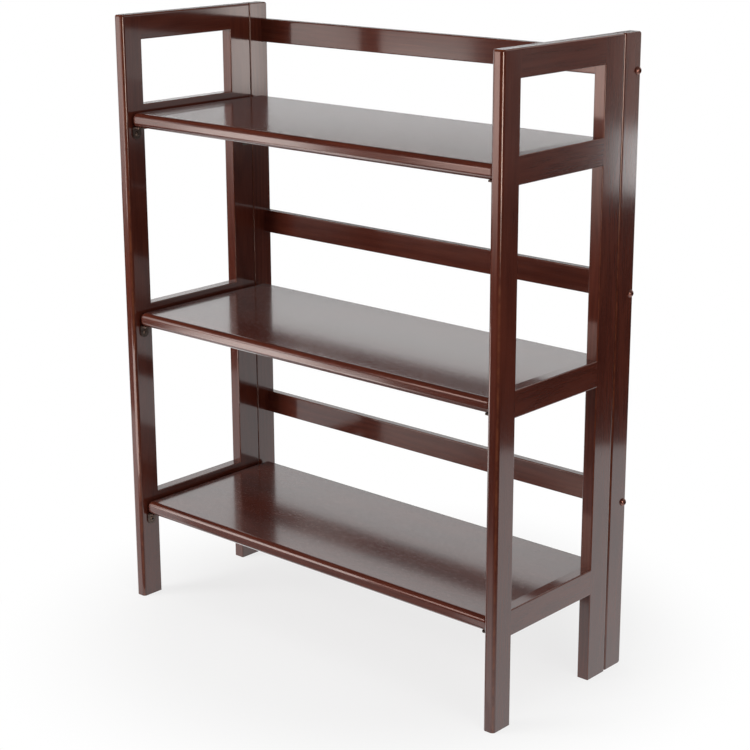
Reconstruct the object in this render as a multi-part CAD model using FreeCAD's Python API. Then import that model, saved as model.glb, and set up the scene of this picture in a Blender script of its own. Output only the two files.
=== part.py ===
import FreeCAD, Part
import math
import os

from FreeCAD import Vector

# Overall size, in millimetres. +Z is up, the open front faces -Y.
overall_width = 688.0
overall_depth = 284.0
overall_height = 870.0
board_thickness = 17.5
overrun = 5.0

# Side frames: two posts joined by four rails, sanded flush and eased as one frame.
front_post_depth = 35.0
rear_post_depth = 40.0
rail_height = 36.0
foot_room = 125.0
headroom = 127.0
tier_steps = (0, 1, 2)
nose_radius = 5.0
rim_radius = 3.0
edge_radius = 1.5
side_dowel_diameter = 8.0
side_dowel_length = 30.0
dowel_end_gap = 1.0
side_dowel_spread_share = 0.5

# Back frame: two stiles joined by three rails that lie flush with the rear.
stile_depth = 36.0
stile_corner_radius = 4.0
seam_gap = 0.5
back_rail_thickness = 12.0
back_rail_height = 34.0
top_rail_drop = 41.5
back_dowel_diameter = 6.0
back_dowel_length = 24.0
back_dowel_depth = 10.0
fixing_spread = 8.0

# Socket button bolts and the barrel nuts they draw up on.
bolt_diameter = 6.0
bolt_length = 45.0
bolt_hole_clearance = 0.3
bolt_tip_room = 2.0
bolt_head_diameter = 10.5
bolt_head_height = 4.4
bolt_socket_flats = 4.0
bolt_socket_depth = 2.2
bolt_head_rim_share = 0.2
nut_diameter = 9.0
nut_length = 9.5
nut_sink = 0.4
nut_inset = 20.0

# Shelves: boards with a rounded nose that turn up on pins near their rear edge.
shelf_thickness = 20.0
shelf_drop = 10.0
shelf_end_gap = 3.0
shelf_setback = 10.0
shelf_nose_radius = 7.0
shelf_tail_radius = 5.0
shelf_corner_radius = 4.0
shelf_edge_radius = 1.5
pivot_rise = 7.5
pivot_tail = 7.0
stow_clearance = 1.0
pivot_diameter = 6.0
pivot_in_shelf = 22.0
pivot_in_stile = 9.0
bush_diameter = 9.0
bush_flange_diameter = 13.0
bush_end_wall = 1.5
running_clearance = 0.05
rub_clearance = 0.15

# Butt hinges let in flush on the inner faces, the barrel half sunk on the seam.
hinge_height = 50.0
hinge_drop = 3.0
leaf_width = 20.0
leaf_thickness = 1.4
barrel_diameter = 4.6
hinge_pin_diameter = 2.6
barrel_relief = 0.4
knuckle_gap = 0.15
middle_knuckle_share = 0.4
leaf_corner_radius = 2.0
hinge_pin_head_diameter = 3.8
hinge_pin_head_height = 0.8
leaf_screw_spread_share = 0.3
leaf_screw_inset_share = 0.58

# Countersunk screws for the hinges and pan head screws for the brackets.
leaf_screw_diameter = 3.0
leaf_screw_head = 5.6
leaf_screw_length = 13.0
bracket_screw_diameter = 3.5
bracket_screw_head = 7.5
bracket_screw_head_height = 2.2
bracket_screw_length = 15.0
screw_tip_length = 3.0
recess_width_share = 0.16
recess_span_share = 0.6
recess_depth_share = 0.55

# Angle brackets that carry the front corners of the shelves.
bracket_width = 15.0
bracket_height = 18.0
bracket_leg = 13.0
bracket_thickness = 2.0
bracket_bend = 3.0
bracket_centre = 19.0
bracket_screw_share = 0.56

ACROSS = Vector(1, 0, 0)
ALONG = Vector(0, 1, 0)
UP = Vector(0, 0, 1)

outer_x = overall_width / 2
inner_x = outer_x - board_thickness
front_y = -overall_depth / 2
rear_y = overall_depth / 2
stile_y = rear_y - stile_depth
post_rear_y = stile_y - seam_gap
hinge_y = stile_y - seam_gap / 2
bay_front_y = front_y + front_post_depth
bay_rear_y = post_rear_y - rear_post_depth
back_rail_y = rear_y - back_rail_thickness
back_rail_mid_y = rear_y - back_rail_thickness / 2
pivot_y = hinge_y + stow_clearance + pivot_rise
shelf_rear_y = pivot_y + pivot_tail
shelf_front_y = front_y + shelf_setback
shelf_half = inner_x - shelf_end_gap
top_back_rail_z = overall_height - top_rail_drop

tier_names = ("bottom", "middle", "top")
lowest_rail_top = foot_room + rail_height
tier_spacing = (overall_height - headroom - lowest_rail_top) / tier_steps[-1]
rail_tops = [lowest_rail_top + tier_spacing * step for step in tier_steps]
shelf_tops = [top - shelf_drop for top in rail_tops]
shelf_bottoms = [top - shelf_thickness for top in shelf_tops]
back_rail_mids = [top_back_rail_z - tier_spacing * step for step in reversed(tier_steps)]
hinge_tops = [shelf_bottoms[0] - hinge_drop, shelf_bottoms[-1] - hinge_drop]
pieces = {}


def block(x0, x1, y0, y1, z0, z1):
    """Box between two corners."""
    return Part.makeBox(x1 - x0, y1 - y0, z1 - z0, Vector(x0, y0, z0))


def rod(diameter, start, direction, length):
    """Round bar that starts at a point and runs along a direction."""
    return Part.makeCylinder(diameter / 2, length, start, direction)


def revolved(points, start, direction):
    """Turned piece: points are (radius, distance along the direction) pairs."""
    outline = Part.makePolygon([Vector(r, 0, h) for r, h in points + points[:1]])
    piece = Part.Face(outline).revolve(Vector(0, 0, 0), UP, 360)
    piece.Placement = FreeCAD.Placement(start, FreeCAD.Rotation(UP, direction))
    return piece


def close(a, b):
    """True where two coordinates are the same."""
    return math.isclose(a, b, abs_tol=running_clearance)


def edges_where(shape, test):
    """Edges whose bounding box passes a test."""
    return [edge for edge in shape.Edges if test(edge.BoundBox)]


def drilled(shape, tools):
    """Shape with every tool taken out of it, as one solid."""
    return shape.cut(Part.makeCompound(tools)).removeSplitter().Solids[0]


def mirrored(shape):
    """The same piece on the left-hand side."""
    return shape.mirror(Vector(0, 0, 0), ACROSS)


def pair(name, shape):
    """Keep a right-hand piece or group, and its left-hand twin."""
    pieces[name + "_right"] = shape
    pieces[name + "_left"] = mirrored(shape)


def cross_recess(head_diameter, depth, start, direction):
    """Cross slot cut into a screw head from its face."""
    span = head_diameter * recess_span_share
    width = head_diameter * recess_width_share
    bars = []
    for a, b in ((span, width), (width, span)):
        bar = block(-a / 2, a / 2, -b / 2, b / 2, -overrun, depth)
        bars.append(bar)
    cross = bars[0].fuse(bars[1])
    cross.Placement = FreeCAD.Placement(start, FreeCAD.Rotation(UP, direction))
    return cross


def countersunk_screw(start, direction):
    """Flush screw: start is the middle of its flat head, direction runs into the wood."""
    body = revolved(
        [
            (0, 0),
            (leaf_screw_head / 2, 0),
            (leaf_screw_diameter / 2, leaf_thickness),
            (leaf_screw_diameter / 2, leaf_screw_length - screw_tip_length),
            (0, leaf_screw_length),
        ],
        start,
        direction,
    )
    return body.cut(cross_recess(leaf_screw_head, leaf_thickness * recess_depth_share, start, direction))


def pan_screw(start, direction):
    """Round-head screw: start is where its head seats, direction runs into the wood."""
    head = bracket_screw_head / 2
    rise = bracket_screw_head_height
    dome = (head**2 + rise**2) / (2 * rise)
    ball = Part.makeSphere(dome, start + direction * (dome - rise))
    face = start - direction * rise
    head_solid = ball.common(rod(bracket_screw_head, face, direction, rise))
    shank = revolved(
        [
            (0, 0),
            (bracket_screw_diameter / 2, 0),
            (bracket_screw_diameter / 2, bracket_screw_length - screw_tip_length),
            (0, bracket_screw_length),
        ],
        start,
        direction,
    )
    body = head_solid.fuse(shank).removeSplitter()
    return body.cut(cross_recess(bracket_screw_head, rise * recess_depth_share, face, direction)).Solids[0]


def side_frame():
    """Right-hand side frame as it leaves the sander: one outline with eased edges."""
    frame = block(inner_x, outer_x, front_y, post_rear_y, 0, overall_height)
    bays = [(-overrun, rail_tops[0] - rail_height)]
    bays += [(rail_tops[n], rail_tops[n + 1] - rail_height) for n in tier_steps[:-1]]
    bays += [(rail_tops[-1], overall_height - rail_height)]
    for low, high in bays:
        frame = frame.cut(block(inner_x - overrun, outer_x + overrun, bay_front_y, bay_rear_y, low, high))
    front_edges = edges_where(
        frame, lambda b: close(b.YMax, front_y) and close(b.ZLength, overall_height)
    )
    frame = frame.makeFillet(nose_radius, front_edges)
    rim = edges_where(
        frame,
        lambda b: close(b.XLength, 0)
        and close(b.XMin, outer_x)
        and (close(b.ZMin, overall_height) or close(b.YMin, post_rear_y)),
    )
    frame = frame.makeFillet(rim_radius, rim)
    eased = edges_where(
        frame,
        lambda b: close(b.XLength, 0)
        and b.ZMax > edge_radius
        and (
            any(close(b.XMin, x) for x in (inner_x, outer_x))
            and b.YMin > bay_front_y - edge_radius
            and b.YMax < bay_rear_y + edge_radius
            or close(b.XMin, inner_x)
            and close(b.YMin, post_rear_y)
        ),
    )
    return frame.makeFillet(edge_radius, eased)


frame = side_frame()

# Cut the frame back into its posts and rails along the glue lines.
far_x = (inner_x - overrun, outer_x + overrun)
tall = (-overrun, overall_height + overrun)
front_post = frame.common(block(*far_x, front_y - overrun, bay_front_y, *tall))
rear_post = frame.common(block(*far_x, bay_rear_y, post_rear_y + overrun, *tall))
side_rails = {}
for name, top in zip(tier_names, rail_tops):
    side_rails["shelf_rail_" + name] = (top - rail_height, top)
side_rails["side_top_rail"] = (overall_height - rail_height, overall_height)

mid_x = (inner_x + outer_x) / 2
half_dowel = side_dowel_length / 2
side_dowels = []
side_dowel_holes = []
for low, high in side_rails.values():
    for joint_y in (bay_front_y, bay_rear_y):
        for sign in (-1, 1):
            z = (low + high) / 2 + sign * rail_height * side_dowel_spread_share / 2
            start = Vector(mid_x, joint_y - half_dowel, z)
            hole_start = start - ALONG * dowel_end_gap
            hole_length = side_dowel_length + 2 * dowel_end_gap
            side_dowels.append(rod(side_dowel_diameter, start, ALONG, side_dowel_length))
            side_dowel_holes.append(rod(side_dowel_diameter, hole_start, ALONG, hole_length))

# Hinges: stile leaf with the end knuckles, post leaf with the middle knuckle, loose-fit pin.
hinge_axis = Vector(inner_x, hinge_y, 0)
relief_diameter = barrel_diameter + 2 * barrel_relief
middle_height = hinge_height * middle_knuckle_share
leaf_screw_y = leaf_width * leaf_screw_inset_share


def leaf_corners(plate, far_y):
    """Edges at the two far corners of a leaf or of its recess."""
    return edges_where(
        plate,
        lambda b: close(b.YMin, far_y) and close(b.YMax, far_y) and close(b.ZLength, 0),
    )


def leaf(base_z, side):
    """One leaf. side is 1 for the stile leaf (towards the rear), -1 for the post leaf."""
    end_height = (hinge_height - middle_height) / 2
    far_y = hinge_y + side * leaf_width
    near_y = hinge_y
    y0, y1 = sorted((near_y, far_y))
    plate = block(inner_x, inner_x + leaf_thickness, y0, y1, base_z, base_z + hinge_height)
    plate = plate.makeFillet(leaf_corner_radius, leaf_corners(plate, far_y))
    ends = ((0, end_height), (end_height + middle_height, hinge_height))
    middle = ((end_height, end_height + middle_height),)
    own, other = (ends, middle) if side > 0 else (middle, ends)
    for low, high in own:
        barrel = rod(barrel_diameter, hinge_axis + UP * (base_z + low), UP, high - low)
        plate = plate.fuse(barrel)
    for low, high in other:
        room = rod(
            relief_diameter,
            hinge_axis + UP * (base_z + low - knuckle_gap),
            UP,
            high - low + 2 * knuckle_gap,
        )
        plate = plate.cut(room)
    bore = hinge_pin_diameter + (0 if side > 0 else 2 * running_clearance)
    plate = plate.cut(rod(bore, hinge_axis + UP * (base_z - overrun), UP, hinge_height + 2 * overrun))
    for z in leaf_screw_heights(base_z):
        seat = countersink(Vector(inner_x, hinge_y + side * leaf_screw_y, z))
        plate = plate.cut(seat)
    return plate.removeSplitter().Solids[0]


def leaf_screw_heights(base_z):
    """Heights of the two screws in a leaf."""
    middle = base_z + hinge_height / 2
    spread = hinge_height * leaf_screw_spread_share
    return (middle - spread, middle + spread)


def countersink(start):
    """Conical screw seat through a leaf."""
    return revolved(
        [
            (0, 0),
            (leaf_screw_head / 2, 0),
            (leaf_screw_diameter / 2, leaf_thickness),
            (0, leaf_thickness),
        ],
        start,
        ACROSS,
    )


def leaf_recess(base_z, side):
    """Wood taken out for one leaf, its screws and the barrel's half round."""
    far_y = hinge_y + side * leaf_width
    y0, y1 = sorted((hinge_y, far_y))
    recess = block(inner_x - overrun, inner_x + leaf_thickness, y0, y1, base_z, base_z + hinge_height)
    recess = recess.makeFillet(leaf_corner_radius, leaf_corners(recess, far_y))
    tools = [recess]
    tools.append(
        rod(
            relief_diameter,
            hinge_axis + UP * (base_z - hinge_pin_head_height - barrel_relief),
            UP,
            hinge_height + 2 * (hinge_pin_head_height + barrel_relief),
        )
    )
    for z in leaf_screw_heights(base_z):
        tools.append(countersunk_blank(Vector(inner_x, hinge_y + side * leaf_screw_y, z)))
    return tools


def countersunk_blank(start):
    """Pilot hole with the outline of a flush screw."""
    return revolved(
        [
            (0, 0),
            (leaf_screw_head / 2, 0),
            (leaf_screw_diameter / 2, leaf_thickness),
            (leaf_screw_diameter / 2, leaf_screw_length - screw_tip_length),
            (0, leaf_screw_length),
        ],
        start,
        ACROSS,
    )


hinge_names = ("lower", "upper")
stile_tools = []
rear_post_tools = list(side_dowel_holes)
stile_screws = []
post_screws = []
hinge_pins = []
for name, top in zip(hinge_names, hinge_tops):
    base = top - hinge_height
    pair("hinge_stile_leaf_" + name, leaf(base, 1))
    pair("hinge_post_leaf_" + name, leaf(base, -1))
    pin = rod(hinge_pin_diameter, hinge_axis + UP * base, UP, hinge_height)
    for head_z in (base - hinge_pin_head_height, base + hinge_height):
        pin = pin.fuse(rod(hinge_pin_head_diameter, hinge_axis + UP * head_z, UP, hinge_pin_head_height))
    hinge_pins.append(pin.removeSplitter().Solids[0])
    stile_tools += leaf_recess(base, 1)
    rear_post_tools += leaf_recess(base, -1)
    for z in leaf_screw_heights(base):
        stile_screws.append(countersunk_screw(Vector(inner_x, hinge_y + leaf_screw_y, z), ACROSS))
        post_screws.append(countersunk_screw(Vector(inner_x, hinge_y - leaf_screw_y, z), ACROSS))
pair("hinge_pins", Part.makeCompound(hinge_pins))
pair("hinge_stile_screws", Part.makeCompound(stile_screws))
pair("hinge_post_screws", Part.makeCompound(post_screws))

# Brackets under the front corners of the shelves.
bracket_y = front_y + bracket_centre
front_post_tools = list(side_dowel_holes)
bracket_screws = []


def bracket(seat_z):
    """Angle bracket: a plate with a round end on the post and a leg under the shelf."""
    plate_x = inner_x - bracket_thickness
    leg_x = inner_x - bracket_leg
    y0 = bracket_y - bracket_width / 2
    y1 = bracket_y + bracket_width / 2
    plate = block(plate_x, inner_x, y0, y1, seat_z - bracket_height + bracket_width / 2, seat_z)
    round_end = rod(
        bracket_width,
        Vector(plate_x, bracket_y, seat_z - bracket_height + bracket_width / 2),
        ACROSS,
        bracket_thickness,
    )
    leg = block(leg_x, inner_x, y0, y1, seat_z - bracket_thickness, seat_z)
    body = plate.fuse([round_end, leg]).removeSplitter().Solids[0]
    inside = edges_where(
        body,
        lambda b: close(b.XMin, plate_x)
        and close(b.XMax, plate_x)
        and close(b.ZMin, seat_z - bracket_thickness)
        and close(b.YLength, bracket_width),
    )
    body = body.makeFillet(bracket_bend - bracket_thickness, inside)
    outside = edges_where(
        body,
        lambda b: close(b.XMin, inner_x)
        and close(b.XMax, inner_x)
        and close(b.ZMin, seat_z)
        and close(b.YLength, bracket_width),
    )
    body = body.makeFillet(bracket_bend, outside)
    tips = edges_where(
        body,
        lambda b: close(b.XMin, leg_x)
        and close(b.XMax, leg_x)
        and close(b.ZLength, bracket_thickness),
    )
    body = body.makeFillet(bracket_bend, tips)
    screw_z = seat_z - bracket_height * bracket_screw_share
    hole = rod(bracket_screw_diameter, Vector(leg_x, bracket_y, screw_z), ACROSS, bracket_leg + overrun)
    return body.cut(hole).Solids[0], Vector(plate_x, bracket_y, screw_z)


for name, seat in zip(tier_names, shelf_bottoms):
    shape, screw_at = bracket(seat)
    pair("shelf_bracket_" + name, shape)
    bracket_screws.append(pan_screw(screw_at, ACROSS))
    front_post_tools.append(
        revolved(
            [
                (0, 0),
                (bracket_screw_diameter / 2, 0),
                (bracket_screw_diameter / 2, bracket_screw_length - screw_tip_length),
                (0, bracket_screw_length),
            ],
            screw_at,
            ACROSS,
        )
    )
pair("bracket_screws", Part.makeCompound(bracket_screws))

pair("front_post", drilled(front_post, front_post_tools))
pair("rear_post", drilled(rear_post, rear_post_tools))
for name, (low, high) in side_rails.items():
    rail = frame.common(block(*far_x, bay_front_y, bay_rear_y, low, high))
    pair(name, drilled(rail, side_dowel_holes))
pair("side_dowels", Part.makeCompound(side_dowels))

# Back frame: stiles, rails, their dowels, bolts and barrel nuts.
bolts = []
nuts = []
back_dowels = []
rail_end_tools = []
socket_radius = bolt_socket_flats / math.sqrt(3)
head_rise = bolt_head_height * (1 - bolt_head_rim_share)
head_dome = ((bolt_head_diameter / 2) ** 2 + head_rise**2) / (2 * head_rise)
bolt_hole_diameter = bolt_diameter + 2 * bolt_hole_clearance
for mid_z in back_rail_mids:
    seat = Vector(outer_x, back_rail_mid_y, mid_z - fixing_spread)
    rim = rod(bolt_head_diameter, seat, ACROSS, bolt_head_height)
    dome = Part.makeSphere(head_dome, seat + ACROSS * (bolt_head_height - head_dome), ACROSS)
    head = rim.common(dome)
    shank = rod(bolt_diameter, seat - ACROSS * bolt_length, ACROSS, bolt_length)
    hexagon = Part.makePolygon(
        [
            Vector(0, socket_radius * math.cos(n * math.pi / 3), socket_radius * math.sin(n * math.pi / 3))
            for n in (0, 1, 2, 3, 4, 5, 0)
        ]
    )
    socket = Part.Face(hexagon).extrude(ACROSS * (bolt_socket_depth + overrun))
    socket.translate(seat + ACROSS * (bolt_head_height - bolt_socket_depth))
    bolts.append(head.fuse(shank).removeSplitter().cut(socket).Solids[0])
    hole = rod(
        bolt_hole_diameter,
        seat - ACROSS * (bolt_length + bolt_tip_room),
        ACROSS,
        bolt_length + bolt_tip_room + overrun,
    )
    nut_x = inner_x - nut_inset
    nut_y = rear_y - nut_sink - nut_length
    nut_at = Vector(nut_x, nut_y, mid_z - fixing_spread)
    nut = rod(nut_diameter, nut_at, ALONG, nut_length)
    nuts.append(nut.cut(shank))
    rail_end_tools += [hole, rod(nut_diameter, nut_at, ALONG, nut_length + overrun)]
    stile_tools.append(hole)
    peg_x = inner_x + back_dowel_depth - back_dowel_length
    peg_at = Vector(peg_x, back_rail_mid_y, mid_z + fixing_spread)
    back_dowels.append(rod(back_dowel_diameter, peg_at, ACROSS, back_dowel_length))
    peg_hole = rod(
        back_dowel_diameter,
        peg_at - ACROSS * dowel_end_gap,
        ACROSS,
        back_dowel_length + 2 * dowel_end_gap,
    )
    rail_end_tools.append(peg_hole)
    stile_tools.append(peg_hole)
pair("rail_bolts", Part.makeCompound(bolts))
pair("barrel_nuts", Part.makeCompound(nuts))
pair("back_rail_dowels", Part.makeCompound(back_dowels))

for name, mid_z in zip(("lower", "middle", "top"), back_rail_mids):
    rail = block(
        -inner_x,
        inner_x,
        back_rail_y,
        rear_y,
        mid_z - back_rail_height / 2,
        mid_z + back_rail_height / 2,
    )
    long_edges = edges_where(rail, lambda b: close(b.XLength, 2 * inner_x))
    rail = rail.makeFillet(edge_radius, long_edges)
    left_tools = [mirrored(tool) for tool in rail_end_tools]
    pieces["back_rail_" + name] = drilled(rail, rail_end_tools + left_tools)

# Pivots: pins fast in the shelf ends turn in flanged bushes let into the stiles.
bushes = []
pivot_zs = [bottom + pivot_rise for bottom in shelf_bottoms]
bush_length = pivot_in_stile + bush_end_wall
pivot_bore = pivot_diameter + 2 * running_clearance
flange_thickness = shelf_end_gap - rub_clearance
for z in pivot_zs:
    face = Vector(inner_x, pivot_y, z)
    sleeve = rod(bush_diameter, face, ACROSS, bush_length)
    stile_tools.append(sleeve)
    flange = rod(bush_flange_diameter, face - ACROSS * flange_thickness, ACROSS, flange_thickness)
    bore = rod(
        pivot_bore,
        face - ACROSS * overrun,
        ACROSS,
        overrun + pivot_in_stile + rub_clearance,
    )
    bushes.append(sleeve.fuse(flange).removeSplitter().cut(bore).Solids[0])
pair("pivot_bushes", Part.makeCompound(bushes))

stile = block(inner_x, outer_x, stile_y, rear_y, 0, overall_height)
stile = stile.makeFillet(
    stile_corner_radius,
    edges_where(stile, lambda b: close(b.YMin, rear_y) and close(b.XLength, board_thickness)),
)
stile = stile.makeFillet(
    rim_radius,
    edges_where(
        stile,
        lambda b: close(b.XLength, 0) and close(b.XMin, outer_x) and close(b.YMax, stile_y),
    ),
)
stile = stile.makeFillet(
    edge_radius,
    edges_where(
        stile,
        lambda b: close(b.XLength, 0)
        and any(close(b.XMin, x) for x in (inner_x, outer_x))
        and not close(b.YMax, stile_y + rim_radius)
        and b.ZMax > stile_corner_radius + edge_radius,
    ),
)
pair("back_stile", drilled(stile, stile_tools))

for name, low, high, z in zip(tier_names, shelf_bottoms, shelf_tops, pivot_zs):
    shelf = block(-shelf_half, shelf_half, shelf_front_y, shelf_rear_y, low, high)
    corners = edges_where(
        shelf, lambda b: close(b.YMax, shelf_front_y) and close(b.ZLength, shelf_thickness)
    )
    shelf = shelf.makeFillet(shelf_corner_radius, corners)
    tail = edges_where(
        shelf, lambda b: close(b.YMin, shelf_rear_y) and close(b.XLength, 2 * shelf_half)
    )
    shelf = shelf.makeFillet(shelf_tail_radius, tail)
    nose = edges_where(
        shelf,
        lambda b: close(b.YMin, shelf_front_y)
        and close(b.YMax, shelf_front_y)
        and b.XLength > shelf_half,
    )
    shelf = shelf.makeFillet(shelf_nose_radius, nose)
    pins = []
    for sign in (-1, 1):
        start = Vector(sign * (shelf_half - pivot_in_shelf), pivot_y, z)
        length = pivot_in_shelf + shelf_end_gap + pivot_in_stile
        pins.append(rod(pivot_diameter, start, ACROSS * sign, length))
    pieces["shelf_" + name] = drilled(shelf, pins)
    pieces["shelf_pivot_pins_" + name] = Part.makeCompound(pins)

os.makedirs("parts", exist_ok=True)
for name, shape in pieces.items():
    shape.exportStep("parts/" + name + ".step")
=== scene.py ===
"""Looks of the folding shelf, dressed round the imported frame.

Every board, hinge, bolt and bracket comes from the frame with its shape. This script gives each
one its finish, and sets it on a white table between soft lamps. Round the table stand cards that
show only in reflections: the soft boxes and dark flags that the lacquer mirrors.
"""

import logging
import math
from collections.abc import Callable, Iterable
from dataclasses import dataclass, field
from enum import Enum

import bpy
import numpy as np
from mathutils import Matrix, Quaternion, Vector

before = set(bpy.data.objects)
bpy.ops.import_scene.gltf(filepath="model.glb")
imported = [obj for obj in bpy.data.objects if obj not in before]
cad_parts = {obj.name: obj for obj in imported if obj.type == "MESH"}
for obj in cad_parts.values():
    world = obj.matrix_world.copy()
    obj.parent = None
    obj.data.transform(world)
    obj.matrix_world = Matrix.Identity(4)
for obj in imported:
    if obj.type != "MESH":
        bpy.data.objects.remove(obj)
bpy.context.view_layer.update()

LOG = logging.getLogger("folding_shelf")
MILLIMETRE = 0.001

Triple = tuple[float, float, float]
Span = tuple[float, float]
Socket = bpy.types.NodeSocket
Value = float | tuple[float, ...] | Socket
Shape = Callable[[np.ndarray, np.ndarray], np.ndarray]

WHITE: Triple = (1.0, 1.0, 1.0)
CREAM: Triple = (1.0, 0.97, 0.95)
WARM: Triple = (1.0, 0.90, 0.85)
AMBER: Triple = (1.0, 0.82, 0.72)
ROSY: Triple = (1.0, 0.74, 0.66)
BLACK: Triple = (0.012, 0.011, 0.011)


class Side(Enum):
    """A side of the shelf, seen from the open front."""

    LEFT = "left"
    RIGHT = "right"


class Tier(Enum):
    """A shelf's place, from the top down."""

    TOP = "top"
    MIDDLE = "middle"
    BOTTOM = "bottom"


class Fibre(Enum):
    """Which way a board's fibres run, as the turn that lays them along the pattern's z axis."""

    ACROSS = (0.0, -math.pi / 2, 0.0)
    DEEP = (math.pi / 2, 0.0, 0.0)
    UPRIGHT = (0.0, 0.0, 0.0)


@dataclass(frozen=True)
class Lumps:
    """Noise: a lump's size along each axis in millimetres, its detail and that detail's weight."""

    size: Triple
    detail: float
    roughness: float


@dataclass(frozen=True)
class GrainPattern:
    """The make-up of wood grain, with the fibres along z and lengths in millimetres."""

    bend: Lumps = Lumps((70.0, 70.0, 420.0), 2.0, 0.5)
    bend_reach: float = 60.0
    pith_away: float = 85.0
    ring_width: float = 7.0
    ring_weight: float = 0.10
    fibres: Lumps = Lumps((1.1, 1.1, 55.0), 4.0, 0.6)
    fibre_weight: float = 0.75
    fibre_roughness: float = 0.10
    clouds: Lumps = Lumps((48.0, 48.0, 190.0), 3.0, 0.55)
    cloud_weight: float = 0.95
    flecks: Lumps = Lumps((0.55, 0.55, 7.0), 2.0, 0.5)
    pore_span: Span = (0.60, 0.74)
    pore_weight: float = -0.22
    pore_roughness: float = 0.10
    pore_height: float = -0.8
    base_tone: float = -0.35
    tone_span: Span = (0.05, 0.95)


@dataclass(frozen=True)
class EdgePattern:
    """Where rubbing sets in over the rounding of an edge, and over the noise that breaks it up."""

    round_span: Span = (0.02, 0.24)
    detail: float = 3.0
    roughness: float = 0.6
    broken_span: Span = (0.22, 0.72)


@dataclass(frozen=True)
class MottlePattern:
    """The make-up of a mottled colour."""

    clouds: Lumps = Lumps((6.0, 6.0, 6.0), 3.0, 0.6)
    cloud_weight: float = 0.65
    specks: Lumps = Lumps((0.5, 0.5, 0.5), 2.0, 0.5)
    speck_weight: float = 0.35
    tone_span: Span = (0.25, 0.75)
    tone_roughness: float = 0.18


class Sheet:
    """A shader node tree that is filled with short calls."""

    # A Mix node of colours takes them at these inputs, and gives its result at this output.
    MIX_FIRST, MIX_SECOND, MIX_RESULT = 6, 7, 2

    def __init__(self, tree: bpy.types.NodeTree) -> None:
        """Takes over a tree and empties it."""
        self.tree = tree
        tree.nodes.clear()

    def feed(self, socket: Socket, value: Value) -> None:
        """Feeds one socket.

        Args:
            socket: The socket to feed.
            value: The value to set on it, or the socket to link to it.
        """
        if isinstance(value, Socket):
            self.tree.links.new(value, socket)
        else:
            socket.default_value = value

    def add(
        self, kind: str, inputs: dict[str | int, Value] | None = None, **settings: object
    ) -> bpy.types.Node:
        """Places one node.

        Args:
            kind: The node's type, without the leading "ShaderNode".
            inputs: Sockets by name or number, each with a value or with the socket that feeds it.
            settings: Properties of the node itself.

        Returns:
            The node.
        """
        node = self.tree.nodes.new("ShaderNode" + kind)
        for name, setting in settings.items():
            setattr(node, name, setting)
        for key, value in (inputs or {}).items():
            self.feed(node.inputs[key], value)
        return node

    def maths(self, operation: str, *values: Value, clamp: bool = False) -> Socket:
        """The result of one Math node on the given values or sockets."""
        inputs = dict(enumerate(values))
        return self.add("Math", inputs, operation=operation, use_clamp=clamp).outputs[0]

    def scaled(self, vector: Socket, factors: Triple) -> Socket:
        """The vector with each of its components multiplied by a factor."""
        return self.add("VectorMath", {0: vector, 1: factors}, operation="MULTIPLY").outputs[0]

    def in_millimetres(self, vector: Socket) -> Socket:
        """A place in metres, given in millimetres."""
        return self.scaled(vector, (1 / MILLIMETRE,) * 3)

    def noise(self, vector: Socket, detail: float, roughness: float) -> Socket:
        """Noise from 0 to 1 with one lump in each unit of the vector."""
        inputs = {"Vector": vector, "Scale": 1.0, "Detail": detail, "Roughness": roughness}
        return self.add("TexNoise", inputs).outputs[0]

    def lumps(self, place: Socket, lumps: Lumps) -> Socket:
        """Noise from 0 to 1 with lumps of a given size, at a place in millimetres."""
        x, y, z = lumps.size
        return self.noise(self.scaled(place, (1 / x, 1 / y, 1 / z)), lumps.detail, lumps.roughness)

    def ramp(self, value: Socket, low: float, high: float) -> Socket:
        """A smooth step that is 0 at low and beyond it, and 1 at high and beyond it."""
        inputs = {"Value": value, "From Min": low, "From Max": high}
        return self.add("MapRange", inputs, interpolation_type="SMOOTHSTEP").outputs[0]

    def mix(self, factor: Value, first: Value, second: Value) -> Socket:
        """A colour between two colours."""
        inputs = {0: factor, self.MIX_FIRST: first, self.MIX_SECOND: second}
        return self.add("Mix", inputs, data_type="RGBA").outputs[self.MIX_RESULT]


def opaque(colour: Triple) -> tuple[float, float, float, float]:
    """The colour with full opacity."""
    return (*colour, 1.0)


def new_group(
    name: str, inputs: dict[str, str], outputs: dict[str, str]
) -> tuple[Sheet, dict[str, Socket], dict[str, Socket]]:
    """Starts a shader node group.

    Args:
        name: The group's name.
        inputs: Input sockets, by name, with their kinds.
        outputs: Output sockets, by name, with their kinds.

    Returns:
        The group's sheet, the sockets that carry its inputs, and the sockets that take its outputs.
    """
    tree = bpy.data.node_groups.new(name, "ShaderNodeTree")
    for socket, kind in inputs.items():
        tree.interface.new_socket(name=socket, in_out="INPUT", socket_type="NodeSocket" + kind)
    for socket, kind in outputs.items():
        tree.interface.new_socket(name=socket, in_out="OUTPUT", socket_type="NodeSocket" + kind)
    sheet = Sheet(tree)
    start, end = tree.nodes.new("NodeGroupInput"), tree.nodes.new("NodeGroupOutput")
    return sheet, {n: start.outputs[n] for n in inputs}, {n: end.inputs[n] for n in outputs}


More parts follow.
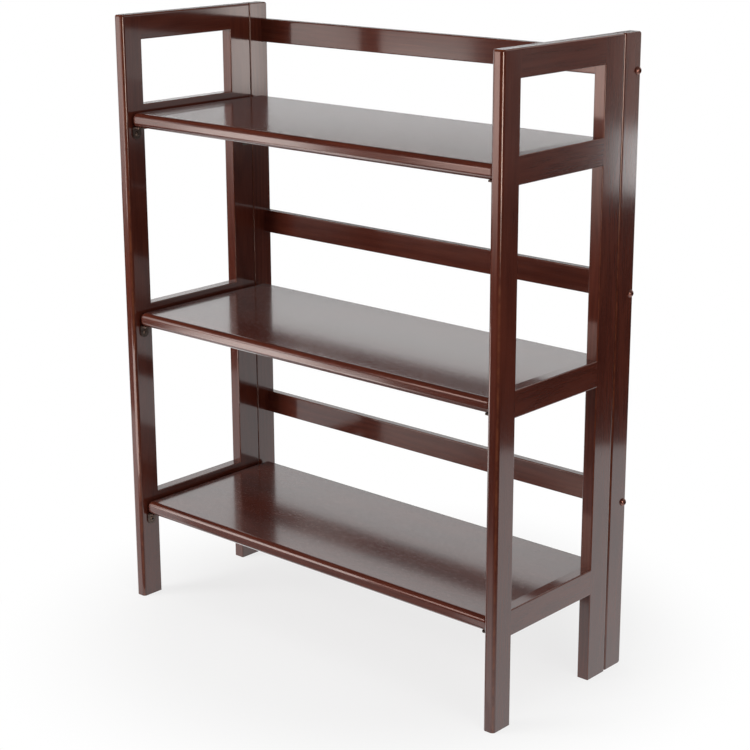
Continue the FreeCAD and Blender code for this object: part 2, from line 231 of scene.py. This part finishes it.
@dataclass
class Effects:
    """The node groups that the finishes share, each built once."""

    grain: bpy.types.NodeTree = field(init=False)
    edges: bpy.types.NodeTree = field(init=False)
    mottle: bpy.types.NodeTree = field(init=False)

    def __post_init__(self) -> None:
        """Builds the groups."""
        self.grain = self.grain_group(GrainPattern())
        self.edges = self.edge_group(EdgePattern())
        self.mottle = self.mottle_group(MottlePattern())

    @staticmethod
    def grain_group(pattern: GrainPattern) -> bpy.types.NodeTree:
        """Wood grain, with the fibres along z.

        Year rings are the sine of the distance from a pith line beside the board, bent by slow noise.
        Fibres are noise drawn out along z, pores are short dark flecks of finer noise, and the stain
        is deeper or thinner in broad clouds. Their weighted sum is the tone.

        Args:
            pattern: The sizes and weights.

        Returns:
            The group, with a colour, a roughness offset and a height.
        """
        sheet, given, wanted = new_group(
            "wood_grain",
            {"Vector": "Vector", "Deep": "Color", "Thin": "Color", "Figure": "Float"},
            {"Color": "Color", "Roughness": "Float", "Height": "Float"},
        )
        maths = sheet.maths
        place = sheet.in_millimetres(given["Vector"])
        axes = sheet.add("SeparateXYZ", {0: place})
        bend = sheet.lumps(place, pattern.bend)
        bent = maths("MULTIPLY_ADD", bend, pattern.bend_reach, axes.outputs[0])
        aside = maths("ADD", axes.outputs[1], pattern.pith_away)
        away = maths("SQRT", maths("ADD", maths("POWER", bent, 2.0), maths("POWER", aside, 2.0)))
        rings = maths("SINE", maths("MULTIPLY", away, 2 * math.pi / pattern.ring_width))
        fibres = sheet.lumps(place, pattern.fibres)
        pores = sheet.ramp(sheet.lumps(place, pattern.flecks), *pattern.pore_span)
        clouds = sheet.lumps(place, pattern.clouds)
        drawn = maths("MULTIPLY", maths("MULTIPLY", rings, pattern.ring_weight), given["Figure"])
        tone = maths("ADD", drawn, pattern.base_tone)
        tone = maths("MULTIPLY_ADD", fibres, pattern.fibre_weight, tone)
        tone = maths("MULTIPLY_ADD", clouds, pattern.cloud_weight, tone)
        tone = maths("MULTIPLY_ADD", pores, pattern.pore_weight, tone)
        stained = sheet.mix(sheet.ramp(tone, *pattern.tone_span), given["Deep"], given["Thin"])
        rough = maths("MULTIPLY", fibres, pattern.fibre_roughness)
        rough = maths("MULTIPLY_ADD", pores, pattern.pore_roughness, rough)
        height = maths("MULTIPLY_ADD", pores, pattern.pore_height, fibres)
        sheet.feed(wanted["Color"], stained)
        sheet.feed(wanted["Roughness"], rough)
        sheet.feed(wanted["Height"], height)
        return sheet.tree

    @staticmethod
    def edge_group(pattern: EdgePattern) -> bpy.types.NodeTree:
        """Where a finish is rubbed thin.

        Faces lie square to the axes, so one less the largest part of the normal is 0 on a flat and
        grows over a rounded edge. Noise breaks the line up.

        Args:
            pattern: The spans of the rounding and of the noise.

        Returns:
            The group, with a mask from 0 to 1.
        """
        sheet, given, wanted = new_group(
            "edge_wear",
            {"Vector": "Vector", "Normal": "Vector", "Lump": "Float"},
            {"Mask": "Float"},
        )
        sizes = sheet.add("VectorMath", {0: given["Normal"]}, operation="ABSOLUTE").outputs[0]
        x, y, z = sheet.add("SeparateXYZ", {0: sizes}).outputs
        largest = sheet.maths("MAXIMUM", sheet.maths("MAXIMUM", x, y), z)
        round_over = sheet.ramp(sheet.maths("SUBTRACT", 1.0, largest), *pattern.round_span)
        scaling = {0: given["Vector"], "Scale": given["Lump"]}
        place = sheet.add("VectorMath", scaling, operation="SCALE").outputs[0]
        noise = sheet.noise(place, pattern.detail, pattern.roughness)
        broken = sheet.ramp(noise, *pattern.broken_span)
        sheet.feed(wanted["Mask"], sheet.maths("MULTIPLY", round_over, broken))
        return sheet.tree

    @staticmethod
    def mottle_group(pattern: MottlePattern) -> bpy.types.NodeTree:
        """Uneven colour on metal, plastic or bare wood: broad clouds with fine specks on them.

        Args:
            pattern: The sizes and weights.

        Returns:
            The group, with a colour, a roughness offset and a height.
        """
        sheet, given, wanted = new_group(
            "mottle",
            {"Vector": "Vector", "Deep": "Color", "Thin": "Color"},
            {"Color": "Color", "Roughness": "Float", "Height": "Float"},
        )
        place = sheet.in_millimetres(given["Vector"])
        clouds = sheet.lumps(place, pattern.clouds)
        specks = sheet.lumps(place, pattern.specks)
        tone = sheet.maths("MULTIPLY", clouds, pattern.cloud_weight)
        tone = sheet.maths("MULTIPLY_ADD", specks, pattern.speck_weight, tone)
        blend = sheet.mix(sheet.ramp(tone, *pattern.tone_span), given["Deep"], given["Thin"])
        sheet.feed(wanted["Color"], blend)
        sheet.feed(wanted["Roughness"], sheet.maths("MULTIPLY", tone, pattern.tone_roughness))
        sheet.feed(wanted["Height"], specks)
        return sheet.tree


def new_material(name: str) -> tuple[bpy.types.Material, Sheet]:
    """Starts a node material.

    Args:
        name: The material's name.

    Returns:
        The material and its empty sheet.
    """
    material = bpy.data.materials.new(name)
    material.use_nodes = True
    return material, Sheet(material.node_tree)


@dataclass(frozen=True)
class StainedWood:
    """Close-grained hardwood, spray-stained and lacquered.

    The stain is thinner on the rounded edges, where the warm wood shows through in lumps, counted
    per metre. The roughness is that of the whole surface, so what the grain adds on average is taken
    off it. Each board is cut a step further through the tree, in metres, and its figure says how
    strongly the rings are drawn.
    """

    deep: Triple = (0.060, 0.0120, 0.0072)
    thin: Triple = (0.118, 0.0265, 0.0150)
    worn: Triple = (0.250, 0.0720, 0.0290)
    worn_share: float = 0.55
    worn_lumps: float = 70.0
    body_gloss: float = 0.12
    roughness: float = 0.22
    grain_roughness: float = 0.05
    lacquer: float = 1.0
    lacquer_roughness: float = 0.09
    lacquer_ior: float = 1.5
    pore_depth: float = 0.10 * MILLIMETRE
    pore_strength: float = 0.35
    cut_step: Triple = (0.173, 0.031, 0.419)
    cut_rows: int = 5
    figures: Triple = (0.6, 0.8, 1.0)

    def cut(self, board: int) -> Triple:
        """Where in the tree a board was cut, in metres."""
        x, y, z = self.cut_step
        return (x * board, y * (board % self.cut_rows), z * board)

    def material(self, effects: Effects, name: str, fibre: Fibre, board: int) -> bpy.types.Material:
        """Makes the finish of one board.

        Args:
            effects: The shared node groups.
            name: The material's name.
            fibre: Which way the board's fibres run.
            board: The board's number, which sets where in the tree it was cut.

        Returns:
            The material.
        """
        material, sheet = new_material(name)
        place = sheet.add("TexCoord").outputs
        laid = sheet.add(
            "Mapping",
            {"Vector": place["Object"], "Location": self.cut(board), "Rotation": fibre.value},
        ).outputs[0]
        grain = sheet.add(
            "Group",
            {
                "Vector": laid,
                "Deep": opaque(self.deep),
                "Thin": opaque(self.thin),
                "Figure": self.figures[board % len(self.figures)],
            },
            node_tree=effects.grain,
        ).outputs
        edges = sheet.add(
            "Group",
            {"Vector": laid, "Normal": place["Normal"], "Lump": self.worn_lumps},
            node_tree=effects.edges,
        ).outputs
        rubbed = sheet.maths("MULTIPLY", edges["Mask"], self.worn_share)
        added = self.roughness - self.grain_roughness
        bump = sheet.add(
            "Bump",
            {
                "Height": grain["Height"],
                "Strength": self.pore_strength,
                "Distance": self.pore_depth,
            },
        )
        shader = sheet.add(
            "BsdfPrincipled",
            {
                "Base Color": sheet.mix(rubbed, grain["Color"], opaque(self.worn)),
                "Roughness": sheet.maths("ADD", grain["Roughness"], added),
                "Normal": bump.outputs[0],
                "Specular IOR Level": self.body_gloss,
                "Coat Weight": self.lacquer,
                "Coat Roughness": self.lacquer_roughness,
                "Coat IOR": self.lacquer_ior,
            },
        )
        sheet.add("OutputMaterial", {"Surface": shader.outputs[0]})
        return material


@dataclass(frozen=True)
class PlainFinish:
    """Metal, plastic or bare wood without a lacquer, mottled and rubbed brighter on its edges.

    The lumps of wear are counted per metre. The roughness is that of the whole surface, so what the
    mottle adds on average is taken off it.
    """

    name: str
    deep: Triple
    thin: Triple
    worn: Triple
    metallic: float
    roughness: float
    mottle_roughness: float = 0.09
    worn_share: float = 0.6
    worn_lumps: float = 300.0
    speck_depth: float = 0.05 * MILLIMETRE
    speck_strength: float = 0.2

    def material(self, effects: Effects) -> bpy.types.Material:
        """Makes the finish.

        Args:
            effects: The shared node groups.

        Returns:
            The material.
        """
        material, sheet = new_material(self.name)
        place = sheet.add("TexCoord").outputs
        mottle = sheet.add(
            "Group",
            {"Vector": place["Object"], "Deep": opaque(self.deep), "Thin": opaque(self.thin)},
            node_tree=effects.mottle,
        ).outputs
        edges = sheet.add(
            "Group",
            {"Vector": place["Object"], "Normal": place["Normal"], "Lump": self.worn_lumps},
            node_tree=effects.edges,
        ).outputs
        rubbed = sheet.maths("MULTIPLY", edges["Mask"], self.worn_share)
        added = self.roughness - self.mottle_roughness
        bump = sheet.add(
            "Bump",
            {
                "Height": mottle["Height"],
                "Strength": self.speck_strength,
                "Distance": self.speck_depth,
            },
        )
        shader = sheet.add(
            "BsdfPrincipled",
            {
                "Base Color": sheet.mix(rubbed, mottle["Color"], opaque(self.worn)),
                "Roughness": sheet.maths("ADD", mottle["Roughness"], added),
                "Metallic": self.metallic,
                "Normal": bump.outputs[0],
            },
        )
        sheet.add("OutputMaterial", {"Surface": shader.outputs[0]})
        return material


FRAME_WOOD = StainedWood()
SHELF_WOOD = StainedWood(worn_share=0.06, body_gloss=0.25, lacquer_roughness=0.13)
BRONZED_STEEL = PlainFinish(
    "bronzed_steel",
    deep=(0.050, 0.032, 0.025),
    thin=(0.105, 0.074, 0.060),
    worn=(0.26, 0.19, 0.15),
    metallic=0.6,
    roughness=0.42,
)
BROWNED_STEEL = PlainFinish(
    "browned_steel",
    deep=(0.110, 0.034, 0.025),
    thin=(0.190, 0.066, 0.048),
    worn=(0.32, 0.15, 0.11),
    metallic=0.4,
    roughness=0.24,
)
PLAIN_STEEL = PlainFinish(
    "plain_steel",
    deep=(0.40, 0.39, 0.37),
    thin=(0.58, 0.57, 0.55),
    worn=(0.70, 0.69, 0.67),
    metallic=1.0,
    roughness=0.36,
)
DOWEL_WOOD = PlainFinish(
    "dowel_wood",
    deep=(0.36, 0.22, 0.11),
    thin=(0.52, 0.35, 0.19),
    worn=(0.55, 0.39, 0.23),
    metallic=0.0,
    roughness=0.62,
)
NYLON = PlainFinish(
    "nylon",
    deep=(0.012, 0.010, 0.009),
    thin=(0.026, 0.022, 0.020),
    worn=(0.05, 0.045, 0.04),
    metallic=0.0,
    roughness=0.45,
)


@dataclass
class Workshop:
    """Hands out the finishes: each board has a cut of its own, each small part shares its kind's."""

    effects: Effects = field(default_factory=Effects)
    boards: int = 0
    made: dict[str, bpy.types.Material] = field(default_factory=dict)

    def dress(self, node: str, material: bpy.types.Material) -> None:
        """Puts a material on one node of the frame.

        Args:
            node: The node's name.
            material: What all of its slots get.
        """
        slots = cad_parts[node].material_slots
        for slot in slots:
            slot.material = material
        LOG.info("%s: %s", node, material.name)

    def board(self, node: str, fibre: Fibre, wood: StainedWood) -> None:
        """Dresses a board in stained wood of its own cut."""
        self.boards += 1
        self.dress(node, wood.material(self.effects, "stained_" + node, fibre, self.boards))

    def fittings(self, nodes: Iterable[str], finish: PlainFinish) -> None:
        """Dresses small parts in the finish of their kind.

        Args:
            nodes: The parts' names.
            finish: Their finish, which is made when it is first asked for.
        """
        if finish.name not in self.made:
            self.made[finish.name] = finish.material(self.effects)
        for node in nodes:
            self.dress(node, self.made[finish.name])


@dataclass
class SideFrame:
    """One side frame: two posts and four rails, with its hinge leaves and shelf brackets."""

    side: Side
    posts: tuple[str, ...] = ("front_post", "rear_post")
    rails: tuple[str, ...] = (
        "side_top_rail",
        "shelf_rail_top",
        "shelf_rail_middle",
        "shelf_rail_bottom",
    )
    dowels: tuple[str, ...] = ("side_dowels",)
    metal: tuple[str, ...] = (
        "hinge_post_leaf_upper",
        "hinge_post_leaf_lower",
        "hinge_post_screws",
        "shelf_bracket_top",
        "shelf_bracket_middle",
        "shelf_bracket_bottom",
        "bracket_screws",
    )

    def named(self, stems: Iterable[str]) -> list[str]:
        """The nodes' names on this side."""
        return [f"{stem}_{self.side.value}" for stem in stems]

    def dress(self, workshop: Workshop) -> None:
        """Gives the frame its finishes.

        Args:
            workshop: Where the finishes come from.
        """
        for node in self.named(self.posts):
            workshop.board(node, Fibre.UPRIGHT, FRAME_WOOD)
        for node in self.named(self.rails):
            workshop.board(node, Fibre.DEEP, FRAME_WOOD)
        workshop.fittings(self.named(self.dowels), DOWEL_WOOD)
        workshop.fittings(self.named(self.metal), BRONZED_STEEL)


@dataclass
class BackFrame:
    """The back frame: two stiles and three rails, bolted up, with hinge leaves and pivot bushes."""

    rails: tuple[str, ...] = ("back_rail_top", "back_rail_middle", "back_rail_lower")
    hinge: tuple[str, ...] = (
        "hinge_stile_leaf_upper",
        "hinge_stile_leaf_lower",
        "hinge_stile_screws",
        "hinge_pins",
    )

    def dress(self, workshop: Workshop) -> None:
        """Gives the frame its finishes.

        Args:
            workshop: Where the finishes come from.
        """
        sides = [side.value for side in Side]
        for side in sides:
            workshop.board(f"back_stile_{side}", Fibre.UPRIGHT, FRAME_WOOD)
        for node in self.rails:
            workshop.board(node, Fibre.ACROSS, FRAME_WOOD)
        workshop.fittings((f"rail_bolts_{s}" for s in sides), BROWNED_STEEL)
        workshop.fittings((f"barrel_nuts_{s}" for s in sides), PLAIN_STEEL)
        workshop.fittings((f"back_rail_dowels_{s}" for s in sides), DOWEL_WOOD)
        workshop.fittings((f"{h}_{s}" for h in self.hinge for s in sides), BRONZED_STEEL)
        workshop.fittings((f"pivot_bushes_{s}" for s in sides), NYLON)


@dataclass
class Shelf:
    """One shelf board with the two pivot pins in its ends."""

    tier: Tier

    def dress(self, workshop: Workshop) -> None:
        """Gives the shelf its finishes; its full round nose keeps nearly all of its stain."""
        workshop.board(f"shelf_{self.tier.value}", Fibre.ACROSS, SHELF_WOOD)
        workshop.fittings((f"shelf_pivot_pins_{self.tier.value}",), PLAIN_STEEL)


def surface(name: str, shape: Shape, steps: tuple[int, int]) -> bpy.types.Object:
    """Makes a mesh from a function of two parameters on an even grid.

    Args:
        name: The object's name.
        shape: Gives points for arrays of u and v from 0 to 1, with x, y and z last.
        steps: How many cells the grid has along u and along v.

    Returns:
        The object, at the origin.
    """
    rows, columns = steps
    u, v = np.meshgrid(np.linspace(0, 1, rows + 1), np.linspace(0, 1, columns + 1), indexing="ij")
    points = shape(u, v).reshape(-1, 3)
    row = columns + 1
    corner = (np.arange(rows)[:, None] * row + np.arange(columns)[None, :]).ravel()
    faces = np.stack([corner, corner + row, corner + row + 1, corner + 1], axis=1)
    mesh = bpy.data.meshes.new(name)
    mesh.from_pydata(points.tolist(), [], faces.tolist())
    thing = bpy.data.objects.new(name, mesh)
    bpy.context.scene.collection.objects.link(thing)
    return thing


def seen_rays(sheet: Sheet) -> Socket:
    """Tells the rays that show the background: from the camera, from gloss and through glass.

    Args:
        sheet: Where the nodes go.

    Returns:
        1 for such a ray and 0 for any other.
    """
    path = sheet.add("LightPath").outputs
    first = sheet.maths("ADD", path["Is Camera Ray"], path["Is Glossy Ray"], clamp=True)
    return sheet.maths("ADD", first, path["Is Transmission Ray"], clamp=True)


def as_card(
    thing: bpy.types.Object, shade: Triple, strength: float, fade: Span | None = None
) -> bpy.types.Object:
    """Makes a mesh show in reflections alone.

    Args:
        thing: The mesh.
        shade: Its colour.
        strength: How bright it is.
        fade: The heights at which it is dark and at which it has its full strength, if it fades.

    Returns:
        The mesh, staged.
    """
    material, sheet = new_material(thing.name)
    glow = sheet.add("Emission", {"Color": opaque(shade), "Strength": strength})
    if fade:
        place = sheet.add("TexCoord").outputs["Object"]
        height = sheet.add("SeparateXYZ", {0: place}).outputs["Z"]
        level = sheet.maths("MULTIPLY", sheet.ramp(height, *fade), strength)
        sheet.feed(glow.inputs["Strength"], level)
    sheet.add("OutputMaterial", {"Surface": glow.outputs[0]})
    thing.data.materials.append(material)
    thing.visible_camera = False
    thing.visible_diffuse = False
    thing.visible_shadow = False
    return thing


@dataclass(frozen=True)
class Card:
    """A flat studio card that only shows in reflections: bright for a soft box, dark for a flag.

    It is given by its centre, by its two half sides and, where it fades, by the heights at which it
    is dark and at which it has its full strength.
    """

    name: str
    centre: Triple
    across: Triple
    up: Triple
    shade: Triple
    strength: float = 1.0
    fade: Span | None = None
    steps: tuple[int, int] = (4, 4)

    def build(self) -> bpy.types.Object:
        """Makes the card.

        A point is centre + (2 u - 1) across + (2 v - 1) up.

        Returns:
            The card, staged.
        """
        centre, across, up = (np.array(part) for part in (self.centre, self.across, self.up))

        def board(u: np.ndarray, v: np.ndarray) -> np.ndarray:
            """The card's points."""
            return centre + (2 * u - 1)[..., None] * across + (2 * v - 1)[..., None] * up

        card = surface(self.name, board, self.steps)
        return as_card(card, self.shade, self.strength, self.fade)


def upright(
    name: str,
    place: Span,
    half_side: Span,
    heights: Span,
    shade: Triple,
    strength: float = 1.0,
    fade: Span | None = None,
) -> Card:
    """Describes a card that stands upright.

    Args:
        name: The card's name.
        place: Where its middle stands on the ground.
        half_side: Half its width, as a step on the ground.
        heights: The heights of its lower and upper edges.
        shade: Its colour.
        strength: How bright it is.
        fade: The heights at which it is dark and at which it has its full strength, if it fades.

    Returns:
        The card's description.
    """
    low, high = heights
    centre = (*place, (low + high) / 2)
    up = (0.0, 0.0, (high - low) / 2)
    return Card(name, centre, (*half_side, 0.0), up, shade, strength, fade)


TABLE_HEIGHT = -0.4 * MILLIMETRE
MIRROR_HEIGHT = -0.8 * MILLIMETRE

# The place and the half side of cards that stand one above the other.
NOSE_CARD: tuple[Span, Span] = ((-1.098, -1.111), (0.102, -0.098))
STILE_CARD: tuple[Span, Span] = ((3.450, 4.860), (0.0856, -0.0608))
FAR_CARD: tuple[Span, Span] = ((-2.60, 5.40), (6.00, 1.50))

CARDS: tuple[Card, ...] = (
    # In front on the left: soft boxes, and the shelf's painted shadow on the mirrored table.
    upright(
        "left_box", (-1.270, -0.9465), (0.070, -0.0665), (0.14, 0.96), WARM, 2.7, (0.15, 0.75)
    ),
    upright("nose_box", *NOSE_CARD, (0.33, 1.05), WARM, 7.0, (0.85, 0.35)),
    upright("nose_low", *NOSE_CARD, (-0.13, 0.09), WARM, 7.0),
    upright("low_box", (-0.395, -0.460), (0.245, 0.0), (0.08, 0.30), WARM, 5.0),
    # Painted shadow: a dim card that darkens the mirrored table where the shelf's shadow falls.
    Card(
        "mirrored_shelf_shadow",
        (-0.207, -0.365, TABLE_HEIGHT),
        (0.30, 0.0, 0.0),
        (-0.207, -0.216, 0.0),
        WHITE,
        0.3,
    ),
    upright(
        "front_box", (-0.714, -1.478), (0.115, -0.110), (0.12, 0.94), ROSY, 5.0, (0.14, 0.58)
    ),
    # Behind on the right: a dark flag and soft boxes, which the side frames mirror.
    upright("side_dark", (3.706, 4.719), (0.2925, -0.2298), (-3.0, 3.0), BLACK),
    upright("inner_box", (4.092, 4.388), (0.092, -0.086), (-0.10, 0.45), WARM, 6.4),
    upright("stile_box", *STILE_CARD, (-0.40, -0.12), WHITE, 5.0),
    upright("stile_glow", *STILE_CARD, (-0.12, 0.40), ROSY, 0.95),
    # Overhead, and beside on the right.
    Card("ceiling", (-0.60, -0.70, 2.00), (2.60, 0.0, 0.0), (0.0, 2.10, 0.0), BLACK),
    upright(
        "right_box", (1.56, -0.78), (0.103, 0.194), (-0.27, 0.97), AMBER, 15.0, (0.26, 0.52)
    ),
    # Far behind, one above the other: light and dark bands, which the tops of the shelves mirror.
    upright("horizon", *FAR_CARD, (-0.82, 1.36), WHITE, 0.74),
    upright("far_dark", *FAR_CARD, (1.36, 1.61), BLACK),
    upright("skyline", *FAR_CARD, (1.61, 1.71), WHITE, 1.95),
    upright("haze", *FAR_CARD, (1.71, 1.86), WHITE, 0.22, (1.88, 1.70)),
    upright("upper_dark", *FAR_CARD, (1.86, 2.02), BLACK),
    upright("upper_light", *FAR_CARD, (2.02, 2.22), WHITE, 1.30),
)


@dataclass(frozen=True)
class Lamp:
    """A square soft lamp: where it stands, the point it faces, its side and its power in watts."""

    name: str
    place: Triple
    aim: Triple
    size: float
    power: float

    def build(self) -> bpy.types.Object:
        """Makes the lamp, which lights the scene but isn't mirrored.

        Returns:
            The lamp.
        """
        data = bpy.data.lights.new(self.name, "AREA")
        data.shape, data.size, data.energy = "SQUARE", self.size, self.power
        lamp = bpy.data.objects.new(self.name, data)
        bpy.context.scene.collection.objects.link(lamp)
        lamp.location = self.place
        facing = Vector(self.aim) - Vector(self.place)
        lamp.rotation_euler = facing.to_track_quat("-Z", "Y").to_euler()
        lamp.visible_glossy = False
        return lamp


# A key lamp at the front left, a lamp overhead and a fill at the right.
LAMPS: tuple[Lamp, ...] = (
    Lamp("key_lamp", (-1.35, -1.85, 1.15), (0.0, 0.0, 0.80), 1.1, 36.0),
    Lamp("top_lamp", (-0.20, -0.10, 2.50), (0.0, 0.0, 0.0), 1.8, 8.0),
    Lamp("fill_lamp", (2.40, -0.60, 1.30), (0.2, 0.0, 0.45), 1.4, 14.0),
)


@dataclass
class Studio:
    """A white table, square to the camera, with a surround, cards, lamps and a white background.

    Spans along the table go from the camera's side to the far side. The surround is a round wall,
    high over a reach to both sides of one heading, counted from y toward x, and low elsewhere.
    """

    turn: float
    table_half: float = 1.60
    table_span: Span = (-0.80, 1.20)
    table_shade: Triple = (0.86, 0.86, 0.855)
    table_steps: tuple[int, int] = (8, 8)
    shadow_span: Span = (0.26, 0.56)
    shadow_white: float = 0.74
    mirror_half: float = 1.28
    mirror_span: Span = (-0.345, 1.00)
    mirror_strength: float = 1.20
    surround_radius: float = 1.85
    surround_foot: float = -0.35
    surround_steps: tuple[int, int] = (120, 2)
    low_edge: float = 0.36
    high_edge: float = 1.60
    high_heading: float = math.radians(140)
    high_reach: float = math.radians(91.5)
    edge_run: float = math.radians(4.5)
    skirt_foot: float = -0.84
    skirt_strength: float = 1.6
    ambient: float = 0.34
    ambient_shade: Triple = (1.0, 0.99, 0.98)

    def flat(self, name: str, half: float, span: Span, height: float) -> bpy.types.Object:
        """Makes a level patch that faces the camera.

        The point is a share u of the width and v of the depth, turned by the camera's turn t:
        (a cos t - b sin t, a sin t + b cos t, height), with a = (2 u - 1) half and
        b = front + v (back - front).

        Args:
            name: The patch's name.
            half: Half its width.
            span: How far it goes from the origin, to the front (negative) and to the back.
            height: The height it lies at.

        Returns:
            The patch.
        """
        cosine, sine = math.cos(self.turn), math.sin(self.turn)
        front, back = span

        def patch(u: np.ndarray, v: np.ndarray) -> np.ndarray:
            """The patch's points."""
            a, b = (2 * u - 1) * half, front + v * (back - front)
            return np.stack([a * cosine - b * sine, a * sine + b * cosine, 0 * u + height], axis=-1)

        return surface(name, patch, self.table_steps)

    def table(self) -> bpy.types.Object:
        """Makes the table top, white to the camera but for the shelf's shadow near it.

        Returns:
            The table top, staged.
        """
        top = self.flat("table_top", self.table_half, self.table_span, TABLE_HEIGHT)
        material, sheet = new_material("white_table")
        place = sheet.add("TexCoord").outputs["Object"]
        away = sheet.add("VectorMath", {0: place}, operation="LENGTH").outputs["Value"]
        outer = sheet.ramp(away, *self.shadow_span)
        level = sheet.maths("MULTIPLY_ADD", outer, 1.0 - self.shadow_white, self.shadow_white)
        share = sheet.maths("MULTIPLY", level, seen_rays(sheet))
        plain = sheet.add("BsdfDiffuse", {"Color": opaque(self.table_shade)})
        white = sheet.add("Emission", {"Color": opaque(WHITE), "Strength": 1.0})
        mixed = sheet.add("MixShader", {0: share, 1: plain.outputs[0], 2: white.outputs[0]})
        sheet.add("OutputMaterial", {"Surface": mixed.outputs[0]})
        top.data.materials.append(material)
        top.visible_glossy = False
        return top

    def table_mirror(self) -> bpy.types.Object:
        """The lit part of the table, as the lacquer mirrors it."""
        lit = self.flat("table_mirror", self.mirror_half, self.mirror_span, MIRROR_HEIGHT)
        return as_card(lit, WHITE, self.mirror_strength)

    def ring(self, u: np.ndarray, height: np.ndarray) -> np.ndarray:
        """Gives points of an upright round wall.

        With the radius r, a point is (r sin 2 pi u, r cos 2 pi u, height).

        Args:
            u: The share of the way round.
            height: The heights.

        Returns:
            The points, with x, y and z last.
        """
        angle = 2 * math.pi * u
        x, y = self.surround_radius * np.sin(angle), self.surround_radius * np.cos(angle)
        return np.stack([x, y, height], axis=-1)

    def surround(self) -> bpy.types.Object:
        """Makes the dark surround, low behind the shelf and high at its right and front.

        The heading is 2 pi u, and the height goes with v from the foot to an edge. The edge rises by
        a smooth step s s (3 - 2 s), where s falls from 1 to 0 over the run at the end of the reach.

        Returns:
            The surround, staged.
        """

        def wall(u: np.ndarray, v: np.ndarray) -> np.ndarray:
            """Gives the wall's points.

            Args:
                u: The share of the way round.
                v: The share of the way up.

            Returns:
                The points, with x, y and z last.
            """
            beyond = 2 * math.pi * u - self.high_heading
            turn = np.abs((beyond + math.pi) % (2 * math.pi) - math.pi)
            rise = np.clip((self.high_reach - turn) / self.edge_run, 0, 1)
            smooth = rise * rise * (3 - 2 * rise)
            edge = self.low_edge + (self.high_edge - self.low_edge) * smooth
            return self.ring(u, self.surround_foot + v * (edge - self.surround_foot))

        return as_card(surface("dark_surround", wall, self.surround_steps), BLACK, 1.0)

    def skirt(self) -> bpy.types.Object:
        """Makes the light under the surround: a round band that brightens downward.

        The heading is 2 pi u, and the height goes with v from twice the skirt's foot up to the
        surround's foot.

        Returns:
            The skirt, staged.
        """
        low = 2 * self.skirt_foot

        def band(u: np.ndarray, v: np.ndarray) -> np.ndarray:
            """The band's points."""
            return self.ring(u, low + v * (self.surround_foot - low))

        skirt = surface("light_skirt", band, self.surround_steps)
        return as_card(skirt, CREAM, self.skirt_strength, (self.surround_foot, self.skirt_foot))

    def background(self) -> None:
        """A white background for seen rays, and an even, weaker light for the rest."""
        world = bpy.data.worlds.new("studio")
        world.use_nodes = True
        bpy.context.scene.world = world
        sheet = Sheet(world.node_tree)
        glow = {"Color": opaque(self.ambient_shade), "Strength": self.ambient}
        soft = sheet.add("Background", glow).outputs[0]
        white = sheet.add("Background", {"Color": opaque(WHITE), "Strength": 1.0}).outputs[0]
        mixed = sheet.add("MixShader", {0: seen_rays(sheet), 1: soft, 2: white})
        sheet.add("OutputWorld", {"Surface": mixed.outputs[0]})

    def build(self) -> None:
        """Sets up the table, what the lacquer mirrors, the lamps and the background."""
        self.table()
        self.table_mirror()
        self.surround()
        self.skirt()
        for thing in (*CARDS, *LAMPS):
            thing.build()
        self.background()
        bpy.context.scene.view_settings.view_transform = "Standard"


@dataclass
class PhotoCamera:
    """The camera at the photograph's place, with its lens for a 36 mm wide square picture.

    It is turned from y toward the left, dipped and rolled.
    """

    place: Triple = (1.65096, -1.82618, 1.10603)
    turn: float = math.radians(41.829)
    dip: float = math.radians(15.698)
    roll: float = math.radians(-0.194)
    lens: float = 87.933
    sensor: float = 36.0
    shift: float = -0.03
    clip: Span = (0.05, 50.0)

    def build(self) -> bpy.types.Object:
        """Makes the camera and gives it to the scene.

        Returns:
            The camera.
        """
        data = bpy.data.cameras.new("photo_camera")
        data.lens, data.sensor_width, data.sensor_fit = self.lens, self.sensor, "HORIZONTAL"
        data.shift_y = self.shift
        data.clip_start, data.clip_end = self.clip
        camera = bpy.data.objects.new("photo_camera", data)
        bpy.context.scene.collection.objects.link(camera)
        camera.location = self.place
        facing = Vector((-math.sin(self.turn), math.cos(self.turn), -math.tan(self.dip)))
        rolled = Quaternion((0.0, 0.0, 1.0), self.roll)
        camera.rotation_mode = "QUATERNION"
        camera.rotation_quaternion = facing.to_track_quat("-Z", "Y") @ rolled
        bpy.context.scene.camera = camera
        return camera


def main() -> None:
    """Dresses the shelf and sets up the studio and the camera."""
    logging.basicConfig(level=logging.INFO, format="%(name)s: %(message)s")
    workshop = Workshop()
    BackFrame().dress(workshop)
    for side in Side:
        SideFrame(side).dress(workshop)
    for tier in Tier:
        Shelf(tier).dress(workshop)
    camera = PhotoCamera()
    camera.build()
    Studio(camera.turn).build()


if __name__ == "__main__":
    main()
